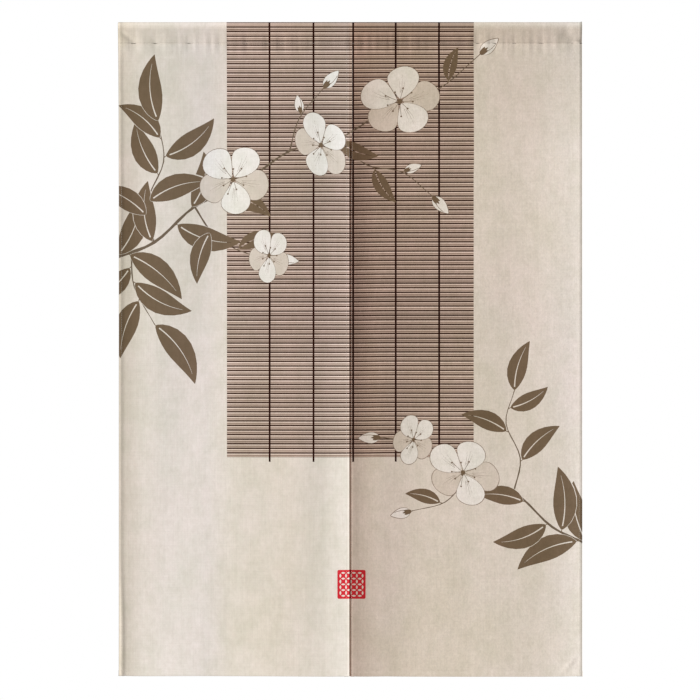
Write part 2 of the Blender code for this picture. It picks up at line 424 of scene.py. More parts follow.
SLATS_LEFT = -0.2255
SLATS_RIGHT = 0.2273
SLATS_DROP = 0.798
SLAT_PITCH = 0.0084
CORD_WIDTH = 0.0034
CORD_DROP = 0.8065
SEAM_CORD = 0.0058  # x of the cord beside the seam
CORDS = (-0.1475, -0.0669, SEAM_CORD, 0.0837, 0.163)  # x, once the cloth hangs
PRINT_PAST_END = 0.01  # how far the slats and cords are laid past the sheet's top edge
SEAL_X = 0.0045
SEAL_DROP = 1.0311
SEAL_SIDE = 0.053
SEAL_CORNER = 0.003
SEAL_CELLS = 4
SEAL_BORDER = 0.0055
SEAL_PETAL_GAP = 0.13  # share of a cell that stays red at each end of a petal
SEAL_PETAL_WIDTH = 0.34  # share of a cell
BARE = None  # a shape with no ink, that shows what it lies on

# Width, width at the tip, and x and drop of the places it passes
TWIGS = {
    "main": (0.0062, 0.0014, (
        (-0.44, 0.434), (-0.36, 0.404), (-0.285, 0.338), (-0.205, 0.302), (-0.11, 0.236),
        (-0.02, 0.214), (0.085, 0.15), (0.165, 0.122), (0.236, 0.062))),
    "low": (0.0036, 0.0012, (
        (-0.285, 0.338), (-0.252, 0.386), (-0.2, 0.42), (-0.135, 0.432))),
    "rising": (0.0036, 0.0014, (
        (-0.36, 0.404), (-0.372, 0.33), (-0.342, 0.255), (-0.352, 0.185))),
    "inner": (0.0026, 0.0011, ((-0.11, 0.236), (-0.092, 0.176), (-0.05, 0.124))),
    "hanging": (0.003, 0.0012, (
        (-0.02, 0.214), (0.032, 0.262), (0.098, 0.276), (0.15, 0.318))),
    "foot": (0.003, 0.0013, ((-0.402, 0.422), (-0.396, 0.486), (-0.36, 0.552))),
    "right": (0.005, 0.0013, (
        (0.44, 0.96), (0.37, 0.926), (0.3, 0.862), (0.215, 0.836), (0.13, 0.776),
        (0.062, 0.762))),
    "right_rising": (0.0028, 0.0012, (
        (0.3, 0.862), (0.312, 0.8), (0.286, 0.736), (0.3, 0.68))),
    "right_low": (0.0024, 0.0011, ((0.215, 0.836), (0.176, 0.88), (0.118, 0.896))),
}
# A twig's leaves: share of its length, degrees from its direction, clockwise, length, width,
# and bend of the middle line as a share of the length
LEAVES = (
    ("main", (
        (0.02, -52, 0.118, 0.044, 0.1), (0.05, 58, 0.125, 0.047, -0.08),
        (0.12, -66, 0.11, 0.042, -0.1), (0.19, 60, 0.121, 0.044, 0.1),
        (0.24, -40, 0.103, 0.039, 0.12), (0.33, 46, 0.094, 0.035, -0.1))),
    ("rising", (
        (0.22, -52, 0.099, 0.039, 0.08), (0.34, 58, 0.116, 0.044, -0.1),
        (0.55, -48, 0.103, 0.042, -0.08), (0.7, 50, 0.112, 0.043, 0.1),
        (0.86, -40, 0.096, 0.038, 0.1), (1.0, 8, 0.121, 0.044, -0.1))),
    ("foot", (
        (0.2, 52, 0.09, 0.036, -0.08), (0.42, -50, 0.116, 0.044, 0.1),
        (0.66, 46, 0.11, 0.042, 0.08), (1.0, -4, 0.13, 0.047, -0.1))),
    ("low", ((0.3, 56, 0.096, 0.036, 0.08), (0.62, -44, 0.074, 0.029, -0.08))),
    ("hanging", ((0.4, 48, 0.072, 0.027, 0.08),)),
    ("main", ((0.62, 40, 0.078, 0.03, 0.1), (0.9, -34, 0.063, 0.025, -0.08))),
    ("right", (
        (0.02, 54, 0.112, 0.044, -0.08), (0.06, -48, 0.119, 0.044, 0.1),
        (0.15, 60, 0.116, 0.043, 0.08), (0.22, -58, 0.101, 0.039, -0.1),
        (0.34, -36, 0.085, 0.034, 0.08))),
    ("right_rising", (
        (0.3, 48, 0.092, 0.036, -0.08), (0.58, -44, 0.087, 0.034, 0.08),
        (0.82, 42, 0.078, 0.031, 0.08), (1.0, 0, 0.094, 0.035, -0.08))),
    ("right_low", ((0.55, 40, 0.065, 0.026, 0.08),)),
)
# x, drop, radius, turn, how far it is pressed together as from the side, and in which direction
BLOSSOMS = (
    (-0.214, 0.288, 0.066, 12, 0.92, 30),
    (-0.052, 0.226, 0.058, 40, 0.8, -20),
    (0.092, 0.146, 0.068, -14, 0.94, 60),
    (-0.148, 0.428, 0.05, 25, 0.72, 10),
    (0.208, 0.826, 0.064, 4, 0.9, -40),
    (0.118, 0.766, 0.047, 33, 0.74, 25),
)
# A twig's buds: share of its length, turn, length
BUDS = (
    ("inner", ((1.0, 0, 0.04), (0.55, -44, 0.031))),
    ("main", ((0.8, 42, 0.034), (1.0, 0, 0.042))),
    ("hanging", ((1.0, 6, 0.04), (0.66, -38, 0.031))),
    ("low", ((1.0, 0, 0.036),)),
    ("right", ((1.0, -10, 0.038), (0.8, -46, 0.031))),
    ("right_low", ((1.0, 0, 0.036),)),
)
OUTLINE = 0.0009  # of a leaf, petal or bud
THINNEST = 0.0002  # so that a blade's tip keeps its order of points
CURVE_STEPS = 5
TWIG_KNOTS = 0.16  # share by which a twig's width comes and goes
LEAF_STATIONS = 12
LEAF_TAPER = (0.8, 0.9)  # its lean, where 1 is widest in the middle, and how pinched it is
LEAF_GAP = 1.02  # length of the bare outline, as a share of the leaf's
LEAF_STALK = 0.005
LEAF_STALK_WIDTHS = (0.0018, 0.0014)
MIDRIB_WIDTH = 0.0026
PETAL_STATIONS = 14
PETAL_ORDER = (0, 2, 4, 1, 3)  # in which the petals are laid on each other
SHADED_PETALS = 2
PETAL_START = 0.08  # share of the blossom's radius
PETAL_WIDTH = 0.86
PETAL_TAPER = (1.5, 0.5)
PETAL_BEND = 0.04
VEINS = ((-9, 0.62), (0, 0.74), (9, 0.62))  # turn, and share of the petal's length
VEIN_WIDTH = 0.001
STAMENS = 9
STAMEN_TURN = 17
STAMEN_WIDTHS = (0.0009, 0.0007)
ANTHER_RADIUS = 0.0017
EYE_RADIUS = 0.07  # share of the blossom's radius
BUD_STALK = 0.006
BUD_STALK_WIDTHS = (0.0016, 0.0018)
BUD_WIDTH = 0.52  # share of its length
BUD_TAPER = (0.72, 0.8)
BUD_VEIN_TURN = 8
SEPALS = ((-16, 0.4), (16, 0.4), (0, 0.46))  # turn, and share of the bud's length
SEPAL_WIDTH = 0.17


def direction(degrees):
    return Vector((cos(radians(degrees)), sin(radians(degrees))))


def smooth_route(places):
    """Points on a smooth line through the places."""
    places = [Vector(place) for place in places]
    ends = [places[0] * 2 - places[1]] + places + [places[-1] * 2 - places[-2]]
    points = []
    for before, here, there, after in zip(ends, ends[1:], ends[2:], ends[3:]):
        for i in range(CURVE_STEPS):
            t = i / CURVE_STEPS
            points.append(0.5 * (
                2 * here + (there - before) * t + (2 * before - 5 * here + 4 * there - after) * t**2
                + (3 * here - before - 3 * there + after) * t**3))
    return points + [places[-1]]


def ribbon(points, widths):
    """Outline of a line that has a width at each point."""
    left, right = [], []
    for i, (point, width) in enumerate(zip(points, widths)):
        ahead = points[min(i + 1, len(points) - 1)] - points[max(i - 1, 0)]
        aside = Vector((-ahead.y, ahead.x)).normalized() * width / 2
        left.append(point + aside)
        right.append(point - aside)
    return left + right[::-1]


def blade(base, heading, length, half_width, bend=0.0, first=0.0, last=1.0, stations=LEAF_STATIONS):
    """Outline of a leaf or petal whose half width follows a function of the share of its length."""
    forwards = direction(heading)
    aside = Vector((-forwards.y, forwards.x))
    steps = [0.5 - 0.5 * cos(pi * i / stations) for i in range(stations + 1)]
    shares = [first + (last - first) * step for step in steps]
    middle = [
        base + forwards * length * t + aside * length * bend * 4 * t * (1 - t) for t in shares]
    return ribbon(middle, [max(2 * half_width(t), THINNEST) for t in shares])


def on_route(points, share):
    """The place at a share of a route's points, and the route's heading there."""
    position = share * (len(points) - 1)
    i = min(int(position), len(points) - 2)
    span = points[i + 1] - points[i]
    return points[i] + span * (position - i), degrees(atan2(span.y, span.x))


def grown(route, along, turn, stalk):
    """Where a leaf's or bud's stalk leaves its twig, where it ends, and its heading."""
    stem, heading = on_route(route, along)
    heading += turn
    return stem, stem + direction(heading) * stalk, heading


def tapered(width, lean, pinch, margin):
    """The half width of a leaf, petal or bud by the share of its length."""
    def half_width(t):
        swell = sin(pi * t**lean) ** pinch if 0 < t < 1 else 0.0
        return width / 2 * swell + margin

    return half_width


def leaf_shapes(route, along, turn, length, width, bend):
    stem, base, heading = grown(route, along, turn, LEAF_STALK)
    yield "leaf", ribbon([stem, base], LEAF_STALK_WIDTHS)
    for ink, share, margin in ((BARE, LEAF_GAP, OUTLINE), ("leaf", 1.0, 0.0)):
        half_width = tapered(width, *LEAF_TAPER, margin)
        yield ink, blade(base, heading, length * share, half_width, bend)
    yield BARE, blade(
        base, heading, length, lambda t: MIDRIB_WIDTH / 2 * (1.0 - t), bend, first=0.06, last=0.86)


def blossom_shapes(x, drop, radius, turn, squash, lean):
    centre, aside = Vector((x, drop)), direction(lean)

    def seen(ink, outline):
        """The outline pressed together along one direction, as from the side."""
        return ink, [p + aside * (squash - 1.0) * (p - centre).dot(aside) for p in outline]

    for i, petal in enumerate(PETAL_ORDER):
        heading = turn + 360.0 / len(PETAL_ORDER) * petal
        base = centre + direction(heading) * PETAL_START * radius
        length = radius * (0.94 + 0.06 * cos(2.1 * petal))
        bend = PETAL_BEND * (-1) ** petal
        fill = "petal_shade" if i < SHADED_PETALS else "petal"
        for ink, margin in (("line", OUTLINE), (fill, 0.0)):
            half_width = tapered(PETAL_WIDTH * radius, *PETAL_TAPER, margin)
            yield seen(ink, blade(
                base, heading, length + margin, half_width, bend, stations=PETAL_STATIONS))
        for spread_by, reach in VEINS:
            yield seen("line", blade(
                base, heading + spread_by, length * reach, lambda t: VEIN_WIDTH / 2 * (1 - t), bend,
                first=0.3, stations=3))
    for i in range(STAMENS):
        heading = turn + STAMEN_TURN + 360.0 / STAMENS * i
        tip = centre + direction(heading) * (radius * (0.36 + 0.07 * sin(4.0 * i)))
        yield seen("leaf", ribbon([centre, tip], STAMEN_WIDTHS))
        yield seen("leaf", [tip + direction(36 * k) * ANTHER_RADIUS for k in range(10)])
    yield seen("leaf", [centre + direction(24 * k) * EYE_RADIUS * radius for k in range(15)])


def bud_shapes(route, along, turn, length):
    stem, base, heading = grown(route, along, turn, BUD_STALK)
    forwards = direction(heading)
    yield "leaf", ribbon([stem, base + forwards * 0.004], BUD_STALK_WIDTHS)
    for ink, margin in (("line", OUTLINE), ("petal", 0.0)):
        half_width = tapered(BUD_WIDTH * length, *BUD_TAPER, margin)
        yield ink, blade(base, heading, length + margin, half_width)
    yield "line", blade(base, heading + BUD_VEIN_TURN, length * 0.8,
                        lambda t: VEIN_WIDTH / 2, bend=0.1, first=0.25, stations=4)

    def sepal_width(t):
        return SEPAL_WIDTH * length * t**0.4 * (1 - t) ** 0.8

    for spread_by, reach in SEPALS:
        yield "leaf", blade(
            base - forwards * 0.002, heading + spread_by, reach * length, sepal_width, stations=6)


def twig_shape(route, first_width, tip_width):
    last = len(route) - 1
    widths = []
    for i in range(last + 1):
        taper = first_width + (tip_width - first_width) * (i / last) ** 0.8
        widths.append(taper * (1.0 + TWIG_KNOTS * sin(2.6 * i)))
    return "twig", ribbon(route, widths)


def seal_shapes():
    """A red square with the old pattern of interlocking circles, and no sign in it."""
    middle, outline = Vector((SEAL_X, SEAL_DROP)), []
    for quarter, (across, down) in enumerate(((1, 1), (-1, 1), (-1, -1), (1, -1))):
        turned = middle + Vector((across, down)) * (SEAL_SIDE / 2 - SEAL_CORNER)
        outline += [turned + direction(90 * (quarter + i / 4)) * SEAL_CORNER for i in range(5)]
    yield "seal", outline
    cell = (SEAL_SIDE - 2 * SEAL_BORDER) / SEAL_CELLS
    corner = middle - Vector((1, 1)) * cell * SEAL_CELLS / 2

    def petal_half_width(t):
        return SEAL_PETAL_WIDTH / 2 * cell * sin(pi * t)

    for i in range(SEAL_CELLS + 1):
        for j in range(SEAL_CELLS):
            for start, heading in ((Vector((j, i)), 0), (Vector((i, j)), 90)):
                base = corner + (start + direction(heading) * SEAL_PETAL_GAP) * cell
                yield BARE, blade(
                    base, heading, cell * (1 - 2 * SEAL_PETAL_GAP), petal_half_width, stations=6)


def cord_outline(x):
    """Outline of a cord's print, laid so that it hangs straight."""
    panel = PANELS[int(x > 0)]
    route = []
    for drop in spread(POCKET_END - PRINT_PAST_END, CORD_DROP, COARSE):
        edge = float(slit_edge(panel, drop))
        across = (abs(x) - edge) * PANEL_WIDTH / (PANEL_WIDTH - edge)
        route.append(Vector((panel.side * across, drop)))
    return ribbon(route, [CORD_WIDTH] * len(route))


def print_shapes():
    """Every shape of the print, in the order in which they are laid."""
    top = POCKET_END - PRINT_PAST_END
    slats = [Vector(place) for place in (
        (SLATS_LEFT, top), (SLATS_RIGHT, top), (SLATS_RIGHT, SLATS_DROP), (SLATS_LEFT, SLATS_DROP))]
    shapes = [("slats", slats)] + [("cord", cord_outline(x)) for x in CORDS]
    grounds = len(shapes)
    routes = {name: smooth_route(route) for name, (_, _, route) in TWIGS.items()}
    for name, (*widths, _) in reversed(TWIGS.items()):
        shapes.append(twig_shape(routes[name], *widths))
    for shapes_of, twigs in ((leaf_shapes, LEAVES), (bud_shapes, BUDS)):
        for twig, rows in twigs:
            for row in rows:
                shapes += shapes_of(routes[twig], *row)
    for blossom in BLOSSOMS:
        shapes += blossom_shapes(*blossom)
    shapes += seal_shapes()
    return shapes, grounds


def inside(points, outline):
    """Which of the points lie in an outline."""
    x, y = points.T
    found = np.zeros(len(points), bool)
    for (x1, y1), (x2, y2) in zip(outline, np.roll(outline, -1, axis=0)):
        if y1 != y2:
            crossed = (y1 > y) != (y2 > y)
            found ^= crossed & (x < (x2 - x1) * (y - y1) / (y2 - y1) + x1)
    return found


# The sheet's mesh

HEADING_ZONE = (-0.006, 0.062)  # finer, for the gathers at the stitches
HEM_ZONE = 0.03
EDGE_ZONE = 0.0125
FINE = 0.0032
COARSE = 0.0088
POCKET_ROW = 0.0042
STITCH_ROWS = (-0.0012, 0.0, 0.0012)  # round the pocket's stitches
BOTTOM_ROW = 0.004
BOTTOM_COLUMN = 0.005
LAST_ROW = 0.002  # from the bottom edge
ROLL_STEPS = 6
NEAR_EDGE = (0.001, 0.0018, 0.0032, 0.01, 0.016)  # columns beside each long edge
CDT_SCALE = 1000.0  # the triangulation works in millimetres
CDT_MERGE = 0.004  # places nearer than this become one


def spread(start, end, spacing):
    """Places from start to end, no further apart than the spacing."""
    steps = max(1, ceil((end - start) / spacing - 1e-6))
    return [start + (end - start) * i / steps for i in range(steps + 1)]


def without_repeats(places):
    """The places in order, each once."""
    kept = []
    for place in sorted(places):
        if not kept or place - kept[-1] > 1e-5:
            kept.append(place)
    return kept


def roll(edge, inwards, radius, hem):
    """Places on the flat sheet for an edge that is turned over: its roll and its hem."""
    turns = [radius - radius * pi * i / ROLL_STEPS for i in range(ROLL_STEPS + 1)]
    flat = overhang(hem, radius)
    return [edge + inwards * place for place in turns + [-flat / 2, -flat]]


def columns(middle_spacing):
    """Distances across, closer together at the rolls and in the grooves of the hems' stitches."""
    groove = [STITCH_INSET + k * STITCH_GROOVE_WIDTH * 0.9 for k in (-2, -1, 0, 1, 2)]
    near = [*NEAR_EDGE, *groove]
    places = roll(0.0, 1, SIDE_ROLL, SIDE_HEM) + roll(PANEL_WIDTH, -1, SIDE_ROLL, SIDE_HEM)
    places += near + [PANEL_WIDTH - place for place in near]
    return without_repeats(places + spread(EDGE_ZONE, PANEL_WIDTH - EDGE_ZONE, middle_spacing))


def grid_points():
    """Places (s, d) that every sheet's mesh has, closer together where it bends more."""
    top, fine_end = HEADING_ZONE
    rows = [
        (spread(POCKET_END, top, POCKET_ROW) + [POCKET_BACK_STITCHES], COARSE),
        (spread(top, fine_end, FINE) + [POCKET_DROP + row for row in STITCH_ROWS], FINE),
        (spread(fine_end, DROP - HEM_ZONE, COARSE), COARSE),
        (spread(DROP - HEM_ZONE, DROP - BOTTOM_ROW, BOTTOM_ROW), BOTTOM_COLUMN),
        (roll(DROP, -1, BOTTOM_ROLL, BOTTOM_HEM) + [DROP - LAST_ROW], COARSE),
    ]
    points = set()
    for places, spacing in rows:
        across = columns(spacing)
        points.update((round(s, 6), round(d, 6)) for d in without_repeats(places) for s in across)
    return points


def sharp_lines():
    """Lines across and along the flat sheet where it bends sharply, which no triangle crosses."""
    for s in columns(COARSE):
        if min(s, PANEL_WIDTH - s) < EDGE_ZONE:
            yield (s, POCKET_END), (s, DROP + BOTTOM_OVERHANG)
    rows = spread(POCKET_END, HEADING_ZONE[0], POCKET_ROW)[1:] + [POCKET_BACK_STITCHES]
    rows += [d for d in spread(*HEADING_ZONE, FINE)[1:] if d < POCKET_RADIUS * pi / 2 + FINE]
    rows += [POCKET_DROP + row for row in STITCH_ROWS]
    for d in rows + roll(DROP, -1, BOTTOM_ROLL, BOTTOM_HEM)[:-1]:
        yield (-SIDE_OVERHANG, d), (PANEL_WIDTH + SIDE_OVERHANG, d)


def sheet_outline():
    """Outline of the flat sheet, without the corners where two hems would lie on each other."""
    left, right = -SIDE_OVERHANG, PANEL_WIDTH + SIDE_OVERHANG
    turn, bottom = DROP + BOTTOM_ROLL * (pi - 1), DROP + BOTTOM_OVERHANG
    return [Vector(place) for place in (
        (left, POCKET_END), (right, POCKET_END), (right, turn), (PANEL_WIDTH, turn),
        (PANEL_WIDTH, bottom), (0.0, bottom), (0.0, turn), (left, turn))]


def edges_of(outline):
    """An outline's points with its long sides divided."""
    points = []
    for here, there in zip(outline, outline[1:] + outline[:1]):
        steps = max(1, round((there - here).length / COARSE))
        points += [here + (there - here) * i / steps for i in range(steps)]
    return points


def triangulated(panel, shapes):
    """The flat sheet as triangles that follow the print's outlines, in (x, -d)."""
    low, high = -SIDE_OVERHANG, PANEL_WIDTH + SIDE_OVERHANG
    edges = []

    def laid(places):
        return [Vector((panel.side * s, -d)) for s, d in places]

    def add_loop(loop):
        first, count = len(points), len(loop)
        points.extend(loop)
        edges.extend((first + i, first + (i + 1) % count) for i in range(count))

    outline = sheet_outline()
    points = laid(sorted(grid_points()))
    add_loop(laid(edges_of(outline)))
    for line in sharp_lines():
        edges.append((len(points), len(points) + 1))
        points.extend(laid(line))
    for _, shape in shapes:
        if any(low < panel.side * place.x < high for place in shape):
            loop = edges_of(shape) if len(shape) == 4 else shape
            add_loop([Vector((place.x, -place.y)) for place in loop])
    found = delaunay_2d_cdt([point * CDT_SCALE for point in points], edges, [], 0, CDT_MERGE)
    flat = np.array([tuple(point) for point in found[0]]) / CDT_SCALE
    triangles = np.array([tuple(face) for face in found[2]])
    a, b, c = (flat[triangles[:, k]] for k in range(3))
    turn = (b[:, 0] - a[:, 0]) * (c[:, 1] - a[:, 1]) - (b[:, 1] - a[:, 1]) * (c[:, 0] - a[:, 0])
    triangles[turn < 0] = triangles[turn < 0][:, ::-1]
    middles = (a + b + c) / 3
    in_sheet = inside(middles, np.array([tuple(place) for place in laid(outline)]))
    return flat, triangles[in_sheet], middles[in_sheet]


def inks_of(middles, shapes, grounds):
    """The ink on each triangle: that of the last shape there, or what lies below a bare one."""
    places = middles * (1.0, -1.0)
    below = np.full(len(places), "ground", dtype=object)
    top = None
    for i, (ink, shape) in enumerate(shapes):
        if i == grounds:
            top = below.copy()
        outline = np.array([tuple(place) for place in shape])
        near = np.flatnonzero(
            ((places > outline.min(axis=0)) & (places < outline.max(axis=0))).all(axis=1))
        covered = near[inside(places[near], outline)]
        if top is None:
            below[covered] = ink
        else:
            top[covered] = below[covered] if ink is BARE else ink
    return top


def placed(name, data):
    """A new object in the scene."""
    thing = bpy.data.objects.new(name, data)
    bpy.context.scene.collection.objects.link(thing)
    return thing


def new_mesh(name, vertices, faces, materials):
    """A new object in the scene, shaded smooth."""
    mesh = bpy.data.meshes.new(name)
    mesh.from_pydata(vertices, [], faces)
    for material in materials:
        mesh.materials.append(material)
    mesh.polygons.foreach_set("use_smooth", [True] * len(mesh.polygons))
    mesh.update()
    return placed(name, mesh)


def build_cloth(panel, shapes, grounds, materials):
    """One panel's sheet with its thickness, hems and pocket."""
    flat, triangles, middles = triangulated(panel, shapes)
    used, triangles = np.unique(triangles, return_inverse=True)
    triangles = triangles.reshape(-1, 3)
    flat = flat[used]
    inks = inks_of(middles, shapes, grounds)
    s, d = panel.side * flat[:, 0], -flat[:, 1]
    printed, facing = hung(panel, s, d), outward(panel, s, d)
    plain = printed - facing * CLOTH
    count = len(flat)
    faces = triangles.tolist()
    sides = dict.fromkeys(pair for face in faces for pair in zip(face, face[1:] + face[:1]))
    edge = [(b, a, a + count, b + count) for a, b in sides if (b, a) not in sides]
    inner = [[i + count for i in reversed(face)] for face in faces]
    faces += inner + edge
    cloth = new_mesh(panel.name, np.concatenate([printed, plain]), faces, materials.values())
    mesh, slots = cloth.data, list(materials)
    numbers = [slots.index(ink) for ink in inks]
    numbers += numbers + [slots.index("ground")] * len(edge)
    mesh.polygons.foreach_set("material_index", numbers)
    reverse = mesh.attributes.new("reverse", "FLOAT", "POINT")
    reverse.data.foreach_set("value", [0.0] * count + [1.0] * count)
    uv = mesh.uv_layers.new(name="flat")
    corners = np.empty(len(mesh.loops), int)
    mesh.loops.foreach_get("vertex_index", corners)
    uv.data.foreach_set("uv", flat[corners % count].ravel())
    mesh.normals_split_custom_set_from_vertices(np.concatenate([facing, -facing]))
    return cloth


# Thread

THREAD_COLOUR = (0.7, 0.64, 0.56)
# Painted shade in the grooves between the thread's strands: what its colour is multiplied by there
THREAD_SHADE = 0.86  # of the grooves between its strands
STITCH_LENGTH = 0.0024
STITCH_PITCH = 0.0034
STITCH_WIDTH = 0.00036
STITCH_HEIGHT = 0.0002
STITCH_WANDER = 0.05  # share of the pitch by which a stitch is out of place
STITCH_SECTIONS = (0.22, 0.78)  # shares of a stitch's length
STITCH_SIDES = 5
STITCH_SUNK = 0.3  # share of its height by which a stitch's ends lie in the cloth
HEADING_STITCHES = (POCKET_DROP + 0.0004, POCKET_BACK_STITCHES - 0.0002)  # front, back
LINE_START = 0.004  # from the pocket's stitches and the bottom to a side hem's stitches
LINE_INSET = 0.003
JOIN_PITCH = 0.0042
JOIN_START = 0.003
JOIN_INSET = 0.0012
JOIN_SLANT = 0.0004
TACK_STITCHES = 6
TACK_PITCH = 0.0007
TACK_INSET = 0.0014
TACK_DROP = 0.0006  # below the end of the seam


def sewn(name, stitches, material):
    """A piece of stitches, each a rounded grain from start to end that stands out of the cloth."""
    vertices, faces = [], []
    for start, end, out in stitches:
        lengthwise = end - start
        aside = lengthwise.cross(out).normalized() * STITCH_WIDTH / 2
        rise = out * STITCH_HEIGHT
        first = len(vertices)
        vertices.append(start - rise * STITCH_SUNK)
        for share in STITCH_SECTIONS:
            middle = start + lengthwise * share
            vertices += [middle - aside, middle + rise - aside * 0.4,
                         middle + rise + aside * 0.4, middle + aside, middle - rise * 0.5]
        vertices.append(end - rise * STITCH_SUNK)
        last = len(vertices) - 1
        for k in range(STITCH_SIDES):
            a, b = first + 1 + k, first + 1 + (k + 1) % STITCH_SIDES
            c, d = b + STITCH_SIDES, a + STITCH_SIDES
            faces += [(first, b, a), (a, b, c, d), (last, d, c)]
    return new_mesh(name, vertices, faces, [material])


def stitched_lines():
    """Lines of stitches as (s, d) pairs from start to end, on both sides of the cloth."""
    behind = -overhang(STITCH_INSET, SIDE_ROLL)
    for s in (STITCH_INSET, PANEL_WIDTH - STITCH_INSET, behind, PANEL_WIDTH - behind):
        yield (s, POCKET_DROP + LINE_START), (s, DROP - LINE_START)
    below = overhang(BOTTOM_STITCH_INSET, BOTTOM_ROLL)
    for d in (*HEADING_STITCHES, DROP - BOTTOM_STITCH_INSET, DROP + below):
        yield (LINE_INSET, d), (PANEL_WIDTH - LINE_INSET, d)


def build_thread(panel, material):
    """A panel's stitches, as one piece."""
    stitches = []
    chance = random.Random(panel.name)
    for start, end in stitched_lines():
        start, end = np.array(start), np.array(end)
        length = np.linalg.norm(end - start)
        count = int(length / STITCH_PITCH)
        wander = [chance.uniform(-STITCH_WANDER, STITCH_WANDER) for _ in range(count)]
        shares = [(i + 0.5 + wander[i]) / count for i in range(count)]
        middles = start + np.outer(shares, end - start)
        half = (end - start) / length * STITCH_LENGTH / 2
        ends = [hung(panel, *(middles + way * half).T) for way in (-1, 1)]
        stitches += zip(*(map(Vector, places) for places in (*ends, outward(panel, *middles.T))))
    return sewn("thread_" + panel.name.split("_")[1], stitches, material)


def build_join(material):
    """Stitches across the centre seam at the back, and the tack where the slit begins."""
    behind, stitches = -overhang(JOIN_INSET, SIDE_ROLL), []
    for d in spread(POCKET_DROP + JOIN_START, JOIN_DROP, JOIN_PITCH):
        ends = [Vector(hung(panel, behind, d + panel.side * JOIN_SLANT)) for panel in PANELS]
        stitches.append((*ends, Vector((0, 1, 0))))
    for i in range(TACK_STITCHES):
        d = JOIN_DROP + TACK_DROP - i * TACK_PITCH
        ends = [Vector(hung(panel, TACK_INSET, d)) for panel in PANELS]
        stitches.append((*ends, Vector((0, -1, 0))))
    return sewn("thread_join", stitches, material)


# Materials

INKS = {
    "ground": (0.752, 0.694, 0.623),
    "slats": None,  # SLAT_TONES
    "cord": (0.024, 0.005, 0.002),
    "leaf": (0.178, 0.125, 0.078),
    "twig": (0.162, 0.122, 0.084),
    "line": (0.25, 0.185, 0.14),
    "petal": (0.855, 0.831, 0.791),
    "petal_shade": (0.7, 0.63, 0.555),
    "seal": (0.61, 0.026, 0.038),
}
REVERSE_COLOUR = (0.74, 0.68, 0.6)
SHOW_THROUGH = 0.26  # share of an ink that shows on the cloth's other side
THREAD_PITCH = 0.00072
CROSSING_HEIGHT = 0.45  # shares of the weave's height
THREAD_HEIGHT = 0.35
ROUGHNESS = 0.96
SLUB_SHEEN = 0.1  # how much less rough the thickest threads are
# Noise over the flat sheet: how fast it changes across and down, its seed, and its share
SLUBS = ((620.0, 14.0, 1.3, 0.55), (14.0, 560.0, 7.9, 0.45))
# The same, and what the cloth's colour is multiplied by from its low values to its high ones
BLOTCHES = (
    (7.0, 5.0, 4.2, (
        (0.3, 0.96, 0.962, 0.93), (0.5, 1.0, 1.0, 1.0), (0.7, 1.025, 1.005, 1.02))),
    (46.0, 30.0, 9.6, ((0.32, 0.946, 0.953, 0.934), (0.68, 1.034, 1.022, 1.032))),
    (170.0, 110.0, 2.7, ((0.34, 0.972, 0.966, 0.958), (0.66, 1.022, 1.026, 1.028))),
)
GRAIN = (430.0, 280.0, 5.6)
GRAIN_TONE = 0.05
SLUB_TONES = ((0.34, 0.958, 0.955, 0.948), (0.64, 1.034, 1.034, 1.034))
# Painted shade in the weave's hollows and a little painted light on its raised threads, by the
# weave's height
WEAVE_HOLLOW_SHADE = ((0.05, 0.9, 0.89, 0.875), (0.55, 1.02, 1.02, 1.02))
# Where the painted light beside the seam fades out
SEAM_LIGHT_FADE = (0.004, 0.003)  # shares of the drop, before and after the seam's end
SLAT_CHANCES = (  # chance, and what a slat's colour is multiplied by
    (0.0, 0.8, 0.79, 0.79), (0.35, 0.95, 0.93, 0.92), (0.6, 1.0, 1.0, 1.0), (1.0, 1.12, 1.12, 1.13),
)
SLAT_TONES = (  # share of a slat's height, and its colour
    (0.0, 0.036, 0.011, 0.004), (0.205, 0.032, 0.009, 0.003), (0.245, 0.785, 0.645, 0.56),
    (0.44, 0.73, 0.598, 0.52), (0.52, 0.3, 0.218, 0.172), (0.69, 0.31, 0.226, 0.18),
    (0.75, 0.575, 0.455, 0.384), (0.905, 0.52, 0.405, 0.338), (0.945, 0.036, 0.011, 0.004),
)


def feed(tree, fed, inputs):
    """Puts values or other nodes' outputs in a node's sockets."""
    for key, value in inputs.items():
        if isinstance(value, bpy.types.NodeSocket):
            tree.links.new(value, fed.inputs[key])
        else:
            fed.inputs[key].default_value = value


def node(tree, kind, inputs=None, **settings):
    """A new node with its settings and what its sockets get."""
    made = tree.nodes.new(kind)
    for name, value in settings.items():
        setattr(made, name, value)
    feed(tree, made, inputs or {})
    return made


def maths(tree, operation, *values):
    return node(tree, "ShaderNodeMath", dict(enumerate(values)), operation=operation).outputs[0]


def ramp(tree, factor, stops):
    """The colour at a factor, from rows of a place and its red, green and blue."""
    made = node(tree, "ShaderNodeValToRGB", {"Fac": factor})
    elements = made.color_ramp.elements
    while len(elements) < len(stops):
        elements.new(0.5)
    for element, (position, *colour) in zip(elements, stops):
        element.position = position
        element.color = (*colour, 1.0)
    return made.outputs["Color"]


def mixed(tree, share, colour, other, blend="MIX"):
    if isinstance(other, tuple):
        other = (*other, 1.0)
    inputs = {0: share, 6: colour, 7: other}
    return node(tree, "ShaderNodeMix", inputs, data_type="RGBA", blend_type=blend).outputs[2]


def tinted(tree, colour, tone):
    return mixed(tree, 1.0, colour, tone, "MULTIPLY")


def flat_coordinates(tree):
    """Place on the flat sheet in metres: x and height."""
    at = node(tree, "ShaderNodeUVMap", uv_map="flat").outputs["UV"]
    parts = node(tree, "ShaderNodeSeparateXYZ", {"Vector": at})
    return parts.outputs["X"], parts.outputs["Y"]


